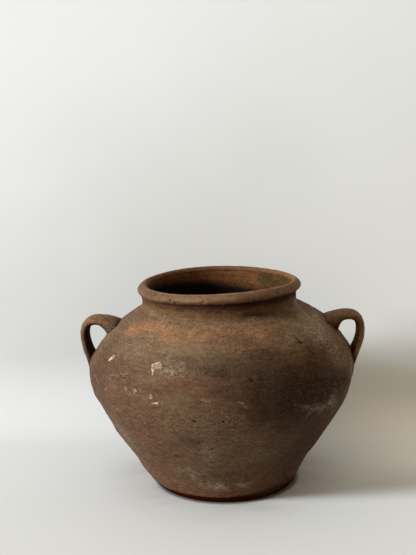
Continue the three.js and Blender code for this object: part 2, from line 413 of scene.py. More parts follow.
def relief(run, theta, points):
    """How far the real skin stands out from the true round: lumps, throwing rings, pits and mounds.

    Lumps are random fields of four sizes, low at the lip and gone at the foot. Rings weaken to a half in
    broad patches. The throat steps back under the lip. A pit is a bell-shaped dip, a mound a level rise
    with eased edges.
    """
    radius = np.hypot(points[..., 0], points[..., 1])
    height = points[..., 2]
    outside = 1 - smoothstep(LIP_CREST - CREST_BLEND, LIP_CREST + CREST_BLEND, run)
    standing = smoothstep(EDGE_START - LUMPS_START, EDGE_END + LUMPS_FULL, run)
    past_crest = run - LIP_CREST
    lumps = lumpy(points, WALL_LUMPS, WALL_SEED) * (1 - CALM_SHARE * bell(past_crest, CALM_REACH))
    patchy = 0.5 + 0.5 * smoothstep(-0.8, 1.2, waves(points, RING_PATCH, RING_PATCH_SEED))
    turned_by = theta + RING_WANDER * waves(points, RING_DRIFT, RING_DRIFT_SEED)
    rings_out = throwing_rings(run, turned_by, *OUTER_RINGS)
    rings_in = throwing_rings(run, turned_by, *INNER_RINGS)
    rings = (outside * rings_out + (1 - outside) * rings_in) * patchy
    stepped = smoothstep(*THROAT_STEP_START, past_crest) * (1 - smoothstep(*THROAT_STEP_END, past_crest))
    made = (lumps + rings) * standing - THROAT_STEP * stepped
    for azimuth, level, size, depth in PITS:
        across = radius * angle_between(theta, azimuth)
        made = made - outside * depth * bell(np.hypot(across, height - level), size)
    for azimuth, level, half_width, half_height, rise in MOUNDS:
        across = radius * angle_between(theta, azimuth)
        apart = np.hypot(across / half_width, (height - level) / half_height)
        made = made + outside * rise * (1 - smoothstep(*MOUND_EDGE, apart))
    return made


def axis_drift(height):
    """How far the axis lies to the right at a height: eased steps between the listed heights."""
    made = DRIFT[0][1] + 0 * height
    for (start, here), (end, there) in zip(DRIFT, DRIFT[1:]):
        made = made + (there - here) * smoothstep(start, end, height)
    return made


def leaned(points):
    """The urn's own stance: axis drifting, mouth tipped and warped, the foot out of round.

    The tip grows with height up to the lean angle. The warp lifts two opposite sides of the mouth and
    lowers the other two. The swell is a bell round its azimuth that dies out above the foot. No point
    goes below the ground.
    """
    x, y, z = np.moveaxis(points, -1, 0)
    climb = np.clip(z / MOUTH_LEVEL, 0, 1)
    tipped = z + x * np.tan(LEAN_ANGLE * (1 - (1 - climb) ** 2))
    theta = np.arctan2(y, x)
    warp = MOUTH_WARP * np.cos(2 * angle_between(theta, MOUTH_WARP_AZIMUTH))
    tipped = tipped + warp * smoothstep(MOUTH_WARP_FOOT, MOUTH_LEVEL, z)
    swell = FOOT_SWELL * bell(angle_between(theta, FOOT_SWELL_AZIMUTH), FOOT_SWELL_SPREAD)
    grown = 1 + swell * (1 - smoothstep(0, FOOT_SWELL_HEIGHT, z)) / HEEL_RADIUS
    return np.stack([x * grown + axis_drift(z), y * grown, np.maximum(tipped, 0)], axis=-1)


def turned(run, theta):
    """Skin points at every length and angle: the line turned round the axis, with relief, then leaned."""
    radius, height, out, up = (column[:, None] for column in skin_at(run))
    turn = theta[None, :]
    circle = np.stack([np.cos(turn) + 0 * radius, np.sin(turn) + 0 * radius], axis=-1)
    ground = np.concatenate([radius[..., None] * circle, height[..., None] + 0 * circle[..., :1]], axis=-1)
    normal = np.concatenate([out[..., None] * circle, up[..., None] + 0 * circle[..., :1]], axis=-1)
    return leaned(ground + relief(run[:, None], turn, ground)[..., None] * normal)


def surface_point(azimuth, level):
    """The point in metres on the finished outside at an azimuth in degrees and a height."""
    outside = (SKIN_RUN > EDGE_START) & (SKIN_RUN < LIP_CREST)
    run = np.interp(level, SKIN[outside, 1], SKIN_RUN[outside])
    return Vector(turned(np.array([run]), np.array([math.radians(azimuth)]))[0, 0] * MM)


# Stains, with painted shade and painted sheen among them, that the materials read from the mesh: azimuth,
# height, half width, half height and strength.
# An azimuth of None goes all round.
STAINS = {
    "smoke": [
        (-54, 142, 44, 24, 0.85), (-41, 142, 34, 22, 0.8), (-71, 158, 26, 16, 0.55),
        (-31, 136, 24, 18, 0.65), (-58, 124, 42, 12, 0.55), (-52, 164, 44, 16, 0.5),
        (-61, 131, 22, 9, 0.5), (-57, 101, 26, 10, 0.3), (-87, 176, 16, 7, 0.7), (-38, 86, 46, 34, 0.5),
        (-44, 60, 36, 24, 0.35), (-62, 224, 22, 6, 0.7), (-46, 32, 26, 18, 0.4), (-12, 206, 16, 6, 0.3),
        # (-3, 196) darkens the shoulder where the right handle's upper root meets it
        (180, 176, 24, 20, 0.35), (-3, 196, 10, 8, 0.5), (-57, 134, 14, 7, 0.4), (-71, 186, 20, 7, 0.42),
        (-40, 186, 20, 8, 0.3), (-76, 133, 9, 5, 0.4), (125, 247, 44, 6, 0.35), (60, 247, 40, 6, 0.25),
        (-42, 8, 30, 9, 0.6), (52, 110, 60, 40, 0.7), (100, 175, 40, 22, 0.5), (170, 90, 40, 26, 0.3),
    ],
    "blush": [
        (-141, 206, 30, 10, 0.7), (-120, 209, 28, 8, 0.55), (-98, 209, 30, 8, 0.55),
        (-66, 212, 30, 7, 0.5), (-139, 150, 16, 14, 0.35), (0, 177, 26, 22, 0.6), (-14, 199, 10, 7, 0.45),
        (120, 205, 40, 10, 0.8), (60, 208, 30, 8, 0.6),
    ],
    "rust": [
        (-110, 164, 26, 8, 0.6), (-99, 158, 20, 8, 0.5), (-148, 150, 28, 14, 0.55),
        (-69, 181.6, 8, 4, 0.7), (-130, 104, 54, 30, 0.4), (-152, 166, 20, 12, 0.3),
        (-122, 36, 26, 10, 0.6), (-106, 158, 34, 5, 0.6), (-52, 72, 40, 22, 0.35), (-38, 205, 34, 9, 0.5),
        (-36, 34, 34, 32, 0.55), (None, 12, 1, 10, 0.85), (150, 140, 30, 22, 0.6), (30, 60, 50, 26, 0.4),
    ],
    # Grime, with painted shade in the ring under the lip at 231; the rings at 100 and 20 darken the body
    # towards the bottom
    "grime_and_shade": [
        (None, 100, 1, 58, 0.34), (None, 20, 1, 40, 0.3), (-156, 152, 60, 34, 0.75),
        (-46, 90, 60, 44, 0.4), (None, 231, 1, 6, 0.35), (-82, 156, 36, 16, 0.68),
        (-94, 179, 42, 8, 0.55), (-66, 177, 36, 9, 0.55), (-114, 157, 20, 7, 0.5),
        (-124, 168, 44, 14, 0.3), (-101, 182, 20, 7, 0.4), (-102, 97, 12, 8, 0.5),
        (-170, 246, 44, 8, 0.5), (100, 247, 80, 8, 0.5), (-30, 60, 70, 50, 0.4), (60, 120, 80, 40, 0.3),
    ],
    # Dust, with painted sheen along the right shoulder and right edges, such as (-10, 156), (-8, 226) and
    # (-20, 213)
    "dust_and_sheen": [
        (-20, 213, 20, 7, 0.5), (-24, 201, 26, 11, 0.6), (-38, 205, 28, 11, 0.3), (-25, 176, 22, 16, 0.5),
        (-10, 156, 9, 24, 0.5), (-8, 226, 8, 7, 0.6), (-43, 120, 11, 7, 0.46), (-35, 126, 11, 7, 0.5),
        (-30, 114, 14, 16, 0.3), (-90, 25, 8, 8, 0.5), (-75, 28, 8, 8, 0.55), (-88, 20, 6, 5, 0.4),
        (-107, 44, 20, 10, 0.3), (-100, 27, 16, 6, 0.32), (-142, 84, 10, 26, 0.26),
        (-124, 122, 16, 8, 0.2), (-95, 76, 10, 12, 0.4), (-49, 128.5, 8, 3, 0.5), (-168, 184, 8, 14, 0.5),
        (-108, 175, 12, 9, 0.4), (100, 30, 16, 8, 0.6), (150, 120, 30, 16, 0.4),
    ],
    "moss": [
        (44, 234, 26, 10, 0.95), (20, 240, 20, 6, 0.8), (60, 236, 12, 8, 0.6),
    ],
    # Pale ash film, with painted sheen on the neck at (-14, 231) and on the right shoulder at (-20, 208)
    "bloom_and_sheen": [
        (-108, 191, 38, 12, 0.8), (-94, 187, 30, 11, 0.7), (-135, 189, 30, 13, 0.7),
        (-117, 166, 22, 12, 0.6), (-100, 174, 24, 6, 0.4), (-38, 122, 22, 11, 0.65),
        (-30, 112, 16, 16, 0.4), (-36, 170, 26, 14, 0.35), (-78, 143, 9, 4, 0.6), (-88, 84, 36, 40, 0.5),
        (-102, 130, 26, 12, 0.5), (-20, 208, 28, 12, 0.45), (-14, 231, 18, 7, 0.6),
        (-46, 203, 36, 12, 0.65), (-100, 219, 60, 5, 0.45), (-142, 226, 18, 6, 0.6),
        (-164, 172, 20, 28, 0.6), (-146, 84, 20, 34, 0.6), (-66, 70, 30, 18, 0.5), (-58, 198, 16, 7, 0.5),
        (-110, 138, 24, 10, 0.35), (-108, 98, 22, 22, 0.35), (-71, 90, 20, 28, 0.35),
        (-114, 245, 24, 6, 0.6), (-86, 245, 26, 6, 0.5), (-40, 246, 20, 6, 0.45), (-68, 219, 36, 5, 0.4),
        (140, 180, 44, 16, 0.8), (85, 140, 30, 18, 0.6),
    ],
}
# The warp under the stains: its reach along each axis, and its size; and how fast a blot falls off
STAIN_WARP = (5.0, 5.0, 2.2)
STAIN_WARP_SIZE = 30
STAIN_FALL = 0.7


def stain_amounts(points, inside):
    """Each stain's strength at points: bell-shaped blots on a randomly warped surface.

    Moss lies inside the urn, and every other stain outside.
    """
    warp = np.stack([waves(points, STAIN_WARP_SIZE, STAIN_SEED + k) for k in range(3)], axis=-1)
    bent = points + warp * STAIN_WARP
    radius = np.hypot(bent[..., 0], bent[..., 1])
    theta = np.arctan2(bent[..., 1], bent[..., 0])
    amounts = {}
    for stain, blots in STAINS.items():
        clear = np.ones(points.shape[:-1])
        for azimuth, level, half_width, half_height, strength in blots:
            across = 0 if azimuth is None else radius * angle_between(theta, azimuth) / half_width
            apart = across ** 2 + ((bent[..., 2] - level) / half_height) ** 2
            clear = clear * (1 - strength * np.exp(-STAIN_FALL * apart))
        amounts[stain] = (1 - clear) * (inside if stain == "moss" else 1 - inside)
    return amounts


# Meshes

def placed(name, data):
    """An object in the scene that carries a mesh, a camera or a light."""
    made = bpy.data.objects.new(name, data)
    bpy.context.scene.collection.objects.link(made)
    return made


def grid_faces(row_count, column_count, loop):
    """Quads between neighbouring rows of a grid whose columns close; loop closes the rows too."""
    row = np.arange(row_count if loop else row_count - 1)[:, None]
    column = np.arange(column_count)[None, :]
    above, beside = (row + 1) % row_count, (column + 1) % column_count
    corners = (row, column), (row, beside), (above, beside), (above, column)
    return np.stack([r * column_count + c for r, c in corners], axis=-1).reshape(-1, 4)


def cap_faces(first, column_count, tip, outward):
    """Triangles from one ring of the grid to a tip point."""
    column = first + np.arange(column_count)
    beside = first + (np.arange(column_count) + 1) % column_count
    fan = (beside, column) if outward else (column, beside)
    return np.stack([*fan, np.full(column_count, tip)], axis=-1)


def smooth_mesh(name, points, quads, fans):
    """A mesh of quads and triangles, put in as whole arrays; it is smooth except at sharp angles."""
    corners = np.concatenate([quads.ravel(), fans.ravel()]).astype(np.int32)
    sizes = np.concatenate([np.full(len(quads), 4), np.full(len(fans), 3)])
    starts = np.concatenate([[0], np.cumsum(sizes)[:-1]]).astype(np.int32)
    mesh = bpy.data.meshes.new(name)
    mesh.vertices.add(len(points))
    mesh.vertices.foreach_set("co", (points * MM).astype(np.float32).ravel())
    mesh.loops.add(len(corners))
    mesh.loops.foreach_set("vertex_index", corners)
    mesh.polygons.add(len(sizes))
    mesh.polygons.foreach_set("loop_start", starts)
    mesh.polygons.foreach_set("use_smooth", np.ones(len(sizes), bool))
    mesh.update(calc_edges=True)
    mesh.validate()
    mesh.set_sharp_from_angle(angle=SHARP_ANGLE)
    return mesh


def add_piece(name, node, material, points, loop=True, inside=0.0, worn_and_highlight=0.0, crevice_shade=0.0):
    """A closed mesh from a grid of points, with its stains; open rows end in a point at their middle."""
    row_count, column_count = points.shape[:2]
    flat = points.reshape(-1, 3)
    given = {"inside": inside, "worn_and_highlight": worn_and_highlight, "crevice_shade": crevice_shade}
    amounts = {label: np.broadcast_to(value, points.shape[:2]).ravel() for label, value in given.items()}
    quads = grid_faces(row_count, column_count, loop)
    fans = np.zeros((0, 3), int)
    if not loop:
        tips = points[[0, -1]].mean(axis=1)
        flat = np.concatenate([flat, tips])
        amounts = {label: np.concatenate([amount, amount[[0, -1]]]) for label, amount in amounts.items()}
        last = (row_count - 1) * column_count
        count = row_count * column_count
        fans = np.concatenate([
            cap_faces(0, column_count, count, True),
            cap_faces(last, column_count, count + 1, False),
        ])
    mesh = smooth_mesh(name, flat, quads, fans)
    for label, amount in {**stain_amounts(flat, amounts["inside"]), **amounts}.items():
        values = mesh.attributes.new(label, "FLOAT", "POINT")
        values.data.foreach_set("value", amount.astype(np.float32))
    mesh.materials.append(material)
    piece = placed(name, mesh)
    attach(piece, "root")
    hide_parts(node)


# Materials

def srgb(red, green, blue):
    """A colour given as screen values from 0 to 255, as the shader's linear colour."""
    shares = np.array([red, green, blue]) / 255
    linear = np.where(shares <= 0.04045, shares / 12.92, ((shares + 0.055) / 1.055) ** 2.4)
    return (*linear.tolist(), 1.0)


class Wiring:
    """Adds nodes to a tree and links them; each new node is returned as one of its output sockets."""

    def __init__(self, tree):
        self.tree = tree

    def add(self, kind, inputs, output=0, **settings):
        """A new node with its settings and inputs."""
        made = self.tree.nodes.new(kind)
        for name, value in settings.items():
            setattr(made, name, value)
        self.into(made, inputs)
        return made.outputs[output]

    def into(self, node, inputs):
        """Links sockets into a node's inputs, and sets the inputs that are given as plain values."""
        for key, value in inputs.items():
            if isinstance(value, bpy.types.NodeSocket):
                self.tree.links.new(value, node.inputs[key])
            else:
                node.inputs[key].default_value = value

    def noise(self, vector, scale, detail=3.0, roughness=0.55):
        """Fractal noise round 0.5."""
        inputs = {"Vector": vector, "Scale": scale, "Detail": detail, "Roughness": roughness}
        return self.add("ShaderNodeTexNoise", inputs)

    def math(self, operation, first, second):
        """Arithmetic on two values."""
        return self.add("ShaderNodeMath", {0: first, 1: second}, operation=operation)

    def vector(self, operation, first, second, output=0):
        """Arithmetic on two vectors."""
        return self.add("ShaderNodeVectorMath", {0: first, 1: second}, output, operation=operation)

    def along(self, place, way):
        """How far a place lies along a way."""
        return self.vector("DOT_PRODUCT", place, way, "Value")

    def ease(self, value, start, end, first=0.0, last=1.0):
        """A smooth step from the first amount, at the start, to the last amount, at the end."""
        inputs = {"Value": value, "From Min": start, "From Max": end, "To Min": first, "To Max": last}
        return self.add("ShaderNodeMapRange", inputs, interpolation_type="SMOOTHSTEP")

    def mix(self, factor, first, second, blend="MIX"):
        """The second colour laid over the first by a factor."""
        inputs = {0: factor, 6: first, 7: second}
        return self.add("ShaderNodeMix", inputs, 2, data_type="RGBA", blend_type=blend)

    def swing(self, value, strength):
        """A noise value's swing round its middle, times a strength."""
        return self.times(self.math("SUBTRACT", value, 0.5), strength)

    def times(self, first, *others):
        """All the values multiplied."""
        for other in others:
            first = self.math("MULTIPLY", first, other)
        return first

    def total(self, first, *others):
        """All the values added up."""
        for other in others:
            first = self.math("ADD", first, other)
        return first

    def largest(self, first, *others):
        """The largest of the values."""
        for other in others:
            first = self.math("MAXIMUM", first, other)
        return first

    def stretch(self, vector, scale):
        """A place scaled along each axis."""
        return self.add("ShaderNodeMapping", {"Vector": vector, "Scale": scale})

    def attribute(self, name):
        """An amount that the mesh carries."""
        return self.add("ShaderNodeAttribute", {}, "Fac", attribute_name=name)

    def group(self, tree, inputs):
        """A shader group placed with its own values; returns its first output."""
        return self.add("ShaderNodeGroup", inputs, node_tree=tree)


def new_material(name):
    """A new material; returns it, its wiring and its shader."""
    material = bpy.data.materials.new(name)
    material.use_nodes = True
    return material, Wiring(material.node_tree), material.node_tree.nodes["Principled BSDF"]


def new_group(name, inputs, outputs):
    """An empty shader group with named sockets; returns its wiring, inputs and output node."""
    tree = bpy.data.node_groups.new(name, "ShaderNodeTree")
    for label, kind in inputs.items():
        tree.interface.new_socket(label, in_out="INPUT", socket_type="NodeSocket" + kind)
    for label, kind in outputs.items():
        tree.interface.new_socket(label, in_out="OUTPUT", socket_type="NodeSocket" + kind)
    entry = tree.nodes.new("NodeGroupInput")
    ending = tree.nodes.new("NodeGroupOutput")
    return Wiring(tree), entry.outputs, ending


# Patches of colour in the clay: colour, scale in repeats a metre, roughness of the noise, the noise's
# values where a patch starts and is full, and its cover
CLAY_PATCHES = (
    ("Warm", (20, 20, 60), 0.6, 0.34, 0.68, 1.0),
    ("Dull", (150, 150, 380), 0.7, 0.4, 0.64, 0.7),
    ("Olive", (40, 40, 130), 0.66, 0.48, 0.7, 0.45),
)
# Scales of the clay's other patterns: level streaks have the larger number upwards
WIPE_SCALE = (24, 24, 420)
MOTTLE_SCALE = (160, 160, 320)
COARSE_SCALE = (16, 16, 34)
FLECK_SCALE = (560, 560, 900)
GRAIN_SCALE = 760
POWDER_SCALE = 1100
MOTTLE_STRENGTH = 1.45
FINE_GRAIN = 1.4
COARSE_GRAIN = 4.9


def clay_group():
    """Fired clay: warm and dull patches of colour, with the tone and relief of streaks and grain."""
    inputs = {"Position": "Vector", "Body": "Color", "Warm": "Color", "Dull": "Color", "Olive": "Color",
              "Streaks": "Float"}
    outputs = {"Colour": "Color", "Tone": "Float", "Height": "Float"}
    wiring, given, ending = new_group("fired clay", inputs, outputs)
    place = given["Position"]
    colour = given["Body"]
    for tint, scale, roughness, start, full, cover in CLAY_PATCHES:
        patches = wiring.ease(wiring.noise(wiring.stretch(place, scale), 1, 5, roughness), start, full)
        colour = wiring.mix(wiring.times(patches, cover), colour, given[tint])
    wiped = wiring.noise(wiring.stretch(place, WIPE_SCALE), 1, 4, 0.62)
    mottle = wiring.noise(wiring.stretch(place, MOTTLE_SCALE), 1, 4, 0.65)
    grain = wiring.noise(place, GRAIN_SCALE, 3, 0.75)
    powder = wiring.noise(place, POWDER_SCALE, 2, 0.6)
    coarse = wiring.noise(wiring.stretch(place, COARSE_SCALE), 1, 3)
    coarse = wiring.ease(coarse, 0.3, 0.7, FINE_GRAIN, COARSE_GRAIN)
    tone = wiring.total(
        1.0,
        wiring.swing(wiped, given["Streaks"]),
        wiring.swing(mottle, MOTTLE_STRENGTH),
        wiring.swing(grain, coarse),
    )
    rises = (grain, 0.8), (wiped, 0.3), (mottle, 0.5), (powder, 0.25)
    height = wiring.total(*(wiring.times(pattern, rise) for pattern, rise in rises))
    wiring.into(ending, {"Colour": colour, "Tone": tone, "Height": height})
    return wiring.tree


def stain_group():
    """A stain laid over a colour: its amount is broken up by noise into a ragged, granular edge.

    It shows where the broken amount passes a half, eased by the softness, and fades where the plain
    amount is faint.
    """
    faint = 0.2
    inputs = {"Position": "Vector", "Colour": "Color", "Stain": "Color", "Amount": "Float",
              "Scale": "Float", "Raggedness": "Float", "Softness": "Float"}
    wiring, given, ending = new_group("ragged stain", inputs, {"Colour": "Color", "Mask": "Float"})
    rough = wiring.swing(wiring.noise(given["Position"], given["Scale"], 6, 0.7), given["Raggedness"])
    broken = wiring.total(given["Amount"], rough)
    start = wiring.math("SUBTRACT", 0.5, given["Softness"])
    end = wiring.total(0.5, given["Softness"])
    mask = wiring.times(wiring.ease(broken, start, end), wiring.ease(given["Amount"], 0.0, faint))
    colour = wiring.mix(mask, given["Colour"], given["Stain"])
    wiring.into(ending, {"Colour": colour, "Mask": mask})
    return wiring.tree


def stroke_group():
    """A mark drawn from one point to another: full near the line between them, gone at its half width."""
    inputs = {"Position": "Vector", "Start": "Vector", "Way": "Vector", "Half width": "Float"}
    wiring, given, ending = new_group("stroke", inputs, {"Mask": "Float"})
    away = wiring.vector("SUBTRACT", given["Position"], given["Start"])
    share = wiring.math("DIVIDE", wiring.along(away, given["Way"]), wiring.along(given["Way"], given["Way"]))
    share = wiring.add("ShaderNodeClamp", {"Value": share})
    nearest = wiring.add("ShaderNodeVectorMath", {0: given["Way"], "Scale": share}, operation="SCALE")
    apart = wiring.vector("DISTANCE", away, nearest, "Value")
    nearness = wiring.math("DIVIDE", apart, given["Half width"])
    wiring.into(ending, {"Mask": wiring.ease(nearness, 0.6, 1.0, 1.0, 0.0)})
    return wiring.tree


def spatter_group():
    """Tiny scattered specks: random cells of which only a share carries a spot of its own size."""
    largest_spot, spot_edge = 0.36, 0.15
    inputs = {"Position": "Vector", "Scale": "Float", "Share": "Float"}
    wiring, given, ending = new_group("spatter", inputs, {"Mask": "Float"})
    cells = {"Vector": given["Position"], "Scale": given["Scale"]}
    distance = wiring.add("ShaderNodeTexVoronoi", cells, "Distance")
    pick = wiring.add("ShaderNodeSeparateColor", {"Color": distance.node.outputs["Color"]}, "Red")
    reach = wiring.ease(pick, 0.0, given["Share"], largest_spot, 0.0)
    gap = wiring.math("SUBTRACT", reach, distance)
    wiring.into(ending, {"Mask": wiring.ease(gap, 0.0, spot_edge)})
    return wiring.tree


FIRED_CLAY = clay_group()
RAGGED_STAIN = stain_group()
DRAWN_STROKE = stroke_group()
FINE_SPATTER = spatter_group()

SOOT = srgb(40, 25, 14)
FLECK = srgb(95, 75, 55)
# Grime; it also paints shade under the lip and darkens the body towards the bottom
GRIME_AND_SHADE = srgb(60, 40, 27)
OCHRE = srgb(150, 107, 74)
RUST = srgb(103, 63, 43)
# Pale ash film, also used as painted sheen on the neck and the right shoulder
ASH_AND_SHEEN = srgb(112, 92, 69)
LIME = srgb(204, 178, 134)
FROST = srgb(176, 160, 134)
# Dust, also used as painted sheen along the right edges
DUST_AND_SHEEN = srgb(145, 130, 110)
# Pale wear and painted highlight on the lip's crest and the straps' outer faces
RUBBED_AND_HIGHLIGHT = srgb(132, 96, 68)
CHAR = srgb(26, 17, 12)
OLIVE = srgb(65, 53, 31)
# Painted shade under the lip, along the foot's edge, and on the straps' inner sides and roots
CREVICE_SHADE = srgb(42, 12, 1)
INNER_BROWN = srgb(92, 56, 30)
# Painted shade deep inside the urn
INNER_SHADOW = srgb(9, 2, 0)
MOSS = srgb(54, 42, 15)

# How each stain, painted shade and painted sheen looks: colour, strength, scale of its noise, raggedness and
# softness of its edge
STAIN_LOOKS = {
    "rust": (RUST, 0.65, 240.0, 0.9, 0.5),
    "blush": (OCHRE, 0.75, 260.0, 0.7, 0.5),
    "bloom_and_sheen": (ASH_AND_SHEEN, 0.75, 420.0, 1.3, 0.5),
    "grime_and_shade": (GRIME_AND_SHADE, 0.8, 300.0, 0.9, 0.6),
    "crevice_shade": (CREVICE_SHADE, 1.0, 200.0, 0.5, 0.5),
    "smoke": (SOOT, 1.0, 260.0, 0.8, 0.5),
    "dust_and_sheen": (DUST_AND_SHEEN, 0.75, 520.0, 1.5, 0.5),
    "moss": (MOSS, 0.9, 260.0, 1.7, 0.4),
}
# The noise at the stains' edges is drawn out sideways
STAIN_SWEEP = (0.35, 0.35, 1.0)

# Marks on the wall and the lip, from one place to another: azimuth and height of both, and half width
LIME_MARKS = [
    (-117.6, 180.6, -114.6, 183.0, 1.0), (-113.8, 181.8, -113.4, 178.0, 0.9),
    (-117.9, 179.4, -117.0, 174.8, 1.2), (-116.8, 174.4, -116.4, 171.4, 1.4),
    (-145.6, 174.8, -144.8, 176.6, 2.2), (-114.8, 141.4, -112.3, 141.5, 0.9),
    (-115.8, 146.6, -115.4, 147.0, 0.9), (-110.5, 143.9, -110.3, 143.7, 0.8),
    (44.0, 165.0, 46.0, 163.0, 1.4), (121.0, 158.0, 123.0, 154.0, 1.4),
]
FAINT_MARKS = [
    (-115.9, 178.8, -115.1, 179.4, 4.2), (-115.7, 149.6, -115.5, 149.2, 1.8),
    (-128.6, 151.8, -128.4, 151.4, 2.0), (-123.6, 151.8, -123.2, 151.4, 2.0),
    (-109.8, 176.5, -107.4, 176.2, 0.9), (-107.2, 175.6, -107.6, 172.8, 0.9),
    (-143.0, 158.2, -135.6, 163.3, 0.7), (-135.6, 163.3, -129.5, 167.7, 0.7),
    (-155.9, 149.7, -141.9, 142.7, 0.8), (-138.2, 124.2, -134.6, 122.7, 0.8),
    (-94.5, 148.5, -91.2, 146.9, 0.6), (-78.4, 142.4, -80.2, 145.4, 1.0), (70.0, 120.0, 84.0, 132.0, 0.7),
    (-145.0, 176.2, -143.8, 178.4, 3.4), (-49.6, 113.5, -48.8, 117.5, 0.9),
]
DARK_MARKS = [
    (-97.9, 122.8, -97.1, 122.4, 1.8), (-86.4, 122.6, -86.0, 122.6, 1.5),
    (-74.8, 166.9, -74.2, 166.4, 2.1), (-45.0, 194.0, -44.0, 193.6, 2.2),
    (-42.7, 184.4, -40.8, 180.5, 1.5), (-91.4, 84.2, -91.1, 84.0, 1.4), (-109.3, 69.9, -109.1, 69.7, 1.0),
    (-96.8, 91.2, -96.4, 91.2, 0.9), (112.0, 96.0, 112.6, 96.2, 1.4),
]
LIP_MARKS = [
    (-122.3, 243.8, -121.7, 243.3, 1.0), (-118.3, 240.9, -117.9, 240.5, 1.0),
    (-97.4, 243.1, -97.0, 242.8, 0.9), (-44.4, 244.2, -43.6, 243.8, 1.1), (60.0, 243.0, 60.6, 242.6, 1.2),
]

# Painted shade: the inside darkens downwards between two levels in metres, along a way that tips towards +X
INNER_SHADE_WAY = (0.12, 0.0, 1.0)
INNER_SHADE = (0.2215, 0.2365)

# Pores and pale specks: cells a metre, and the share of them with a spot; a shake makes edges ragged
PORE_SCALE = 230.0
PORE_SHARE = 0.16
SPECK_SCALE = 240.0
SPECK_SHARE = 0.04
SHAKE_SCALE = 420.0
SHAKE_REACH = 0.006

# How far each finish covers what lies under it
RUBBED_AND_HIGHLIGHT_COVER = 0.5
FLECK_COVER = 0.7
PORE_COVER = 0.42
SPECK_COVER = 0.2
SCRATCH_COVER = 0.35
LIME_COVER = 0.75

# Roughness that changes from place to place, and relief: pores sink and lime stands out of the grain
SHEEN_SCALE = 130
SHEEN_SWING = 0.1
RAW_ROUGHNESS = 0.25
SOOT_RAWNESS = 0.3
BUMP_STRENGTH = 0.6
BUMP_DEPTH = 0.0009
PORE_SINK = 0.6
LIME_RISE = 0.4


def stained(wiring, place, under, stain):
    """A stain laid over a colour, by the amount that the mesh carries under the stain's name."""
    tint, strength, scale, raggedness, softness = STAIN_LOOKS[stain]
    return wiring.group(RAGGED_STAIN, {
        "Position": place, "Colour": under, "Stain": tint,
        "Amount": wiring.times(wiring.attribute(stain), strength),
        "Scale": scale, "Raggedness": raggedness, "Softness": softness,
    })


def strokes(wiring, place, marks):
    """The strongest of several marks at each place."""
    masks = []
    for azimuth, level, end_azimuth, end_level, half_width in marks:
        start = surface_point(azimuth, level)
        way = surface_point(end_azimuth, end_level) - start
        masks.append(wiring.group(DRAWN_STROKE, {
            "Position": place, "Start": start, "Way": way, "Half width": half_width * MM,
        }))
    return wiring.largest(*masks)


def shaken(wiring, place):
    """A place moved about by noise, so that what is drawn there gets a ragged edge."""
    shake = wiring.add("ShaderNodeTexNoise", {"Vector": place, "Scale": SHAKE_SCALE, "Detail": 3.0}, "Color")
    shake = wiring.vector("MULTIPLY", wiring.vector("SUBTRACT", shake, (0.5,) * 3), (SHAKE_REACH,) * 3)
    return wiring.vector("ADD", place, shake)


def weathered(wiring, place, colour):
    """A clay colour with its stains, painted highlight, painted shade and painted sheen laid on in turn,
    from rust at the bottom to the pale film and painted sheen at the top.

    Past the lip a brown with moss takes their place, darkened downwards as painted shade. Returns the colour
    and the soot's mask.
    """
    swept = wiring.stretch(place, STAIN_SWEEP)
    for stain in ("rust", "blush", "bloom_and_sheen", "grime_and_shade"):
        colour = stained(wiring, swept, colour, stain)
    colour = wiring.mix(wiring.times(wiring.attribute("worn_and_highlight"), RUBBED_AND_HIGHLIGHT_COVER), colour, RUBBED_AND_HIGHLIGHT)
    colour = stained(wiring, swept, colour, "crevice_shade")
    colour = stained(wiring, swept, colour, "smoke")
    soot = colour.node.outputs["Mask"]
    flecks = wiring.ease(wiring.noise(wiring.stretch(place, FLECK_SCALE), 1, 2), 0.5, 0.72)
    colour = wiring.mix(wiring.times(flecks, soot, FLECK_COVER), colour, FLECK)
    colour = stained(wiring, swept, colour, "dust_and_sheen")
    shaded = wiring.ease(wiring.along(place, INNER_SHADE_WAY), *INNER_SHADE)
    inner = stained(wiring, swept, wiring.mix(shaded, INNER_SHADOW, INNER_BROWN), "moss")
    return wiring.mix(wiring.attribute("inside"), colour, inner), soot


def limed(wiring, place, colour, height, pale_marks, faint_marks):
    """Pale specks, scratches and splashes of lime on the outside; the lime stands out of the clay."""
    outside = wiring.math("SUBTRACT", 1.0, wiring.attribute("inside"))
    specks = wiring.group(FINE_SPATTER, {"Position": place, "Scale": SPECK_SCALE, "Share": SPECK_SHARE})
    scratches = wiring.times(strokes(wiring, place, faint_marks), SCRATCH_COVER)
    faint = wiring.largest(wiring.times(specks, SPECK_COVER), scratches)
    colour = wiring.mix(wiring.times(faint, outside), colour, FROST)
    pale = wiring.times(strokes(wiring, place, pale_marks), LIME_COVER, outside)
    height = wiring.total(height, wiring.times(pale, LIME_RISE))
    return wiring.mix(pale, colour, LIME), height


